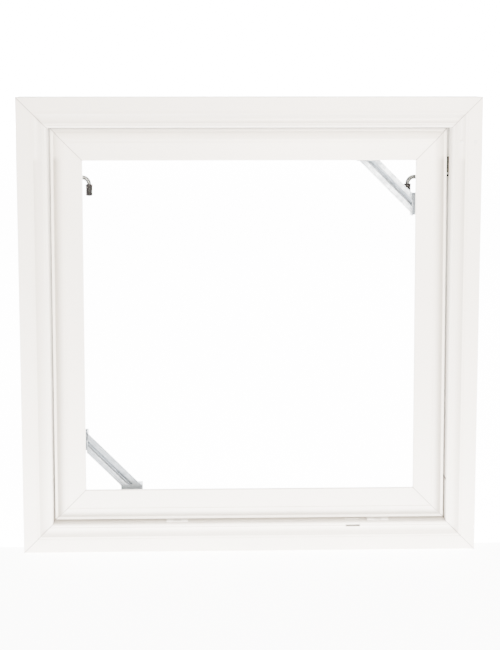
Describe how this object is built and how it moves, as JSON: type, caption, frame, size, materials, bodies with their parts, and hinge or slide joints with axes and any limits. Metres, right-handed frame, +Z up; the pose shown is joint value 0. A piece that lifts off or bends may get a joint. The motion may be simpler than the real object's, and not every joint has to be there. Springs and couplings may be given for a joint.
{
  "type": "hopper window with latch cranks",
  "caption": "Square plastic hopper window: a mitred frame, an inward-tilting glazed sash on low pivots, folded steel corner braces and small bent-rod latch cranks.",
  "frame": {"origin": "centre of the sill's flat underside, halfway through the frame's depth", "axes": "+X to the right as seen from the weather side, +Y into the room, +Z up"},
  "size_m": [0.6, 0.0718, 0.6],
  "materials": {
    "frame_plastic": "white uPVC, satin gloss",
    "sash_plastic": "white uPVC, satin gloss",
    "bead_plastic": "white uPVC, satin gloss",
    "pale_seal": "pale grey soft seal",
    "glazing_rubber": "pale grey glazing gasket",
    "clear_glass": "clear float glass",
    "white_plastic": "moulded white plastic",
    "block_plastic": "moulded plastic",
    "galvanised_sheet": "galvanised sheet steel",
    "zinc_rod": "dull zinc plate",
    "zinc_plate": "bright zinc plate",
    "screw_zinc": "bright zinc plate",
    "grip_plastic": "black moulded cap",
    "black_rubber": "black rubber",
    "black_nylon": "black glass-filled nylon",
    "pale_nylon": "natural nylon"
  },
  "bodies": {
    "frame": {"frame_head": "frame_plastic", "frame_sill": "frame_plastic", "frame_jamb_left": "frame_plastic", "frame_jamb_right": "frame_plastic", "frame_seal": "pale_seal", "sill_packers": "white_plastic", "face_plugs": "white_plastic", "pivot_bearings": "zinc_plate", "bearing_screws": "screw_zinc", "keepers": "black_nylon", "keeper_screws": "screw_zinc"},
    "sash": {"sash_top_rail": "sash_plastic", "sash_bottom_rail": "sash_plastic", "sash_stile_left": "sash_plastic", "sash_stile_right": "sash_plastic", "bead_top": "bead_plastic", "bead_bottom": "bead_plastic", "bead_left": "bead_plastic", "bead_right": "bead_plastic", "glass_pane": "clear_glass", "gasket_front": "glazing_rubber", "gasket_rear": "glazing_rubber", "setting_blocks": "block_plastic", "brace_top_right": "galvanised_sheet", "brace_bottom_left": "galvanised_sheet", "brace_screws": "screw_zinc", "pivot_pins": "zinc_plate", "pivot_screws": "screw_zinc", "pivot_washers": "pale_nylon", "crank_bushes": "black_nylon", "closing_buffer": "black_rubber", "buffer_screw": "screw_zinc"},
    "crank_left": {"crank_rod_left": "zinc_rod", "crank_grip_left": "grip_plastic", "latch_cam_left": "zinc_rod", "cam_clip_left": "screw_zinc"},
    "crank_right": {"crank_rod_right": "zinc_rod", "crank_grip_right": "grip_plastic", "latch_cam_right": "zinc_rod", "cam_clip_right": "screw_zinc"}
  },
  "joints": [
    {"name": "sash_tilt", "type": "hinge", "parent": "frame", "child": "sash", "pos_m": [0, 0.008, 0.036], "axis": [-1, 0, 0], "range_deg": [-2, 23]},
    {"name": "crank_left_turn", "type": "hinge", "parent": "sash", "child": "crank_left", "pos_m": [-0.266, 0.026, 0.49405], "axis": [1, 0, 0], "range_deg": [0, 90]},
    {"name": "crank_right_turn", "type": "hinge", "parent": "sash", "child": "crank_right", "pos_m": [0.266, 0.026, 0.49405], "axis": [1, 0, 0], "range_deg": [0, 90]}
  ]
}
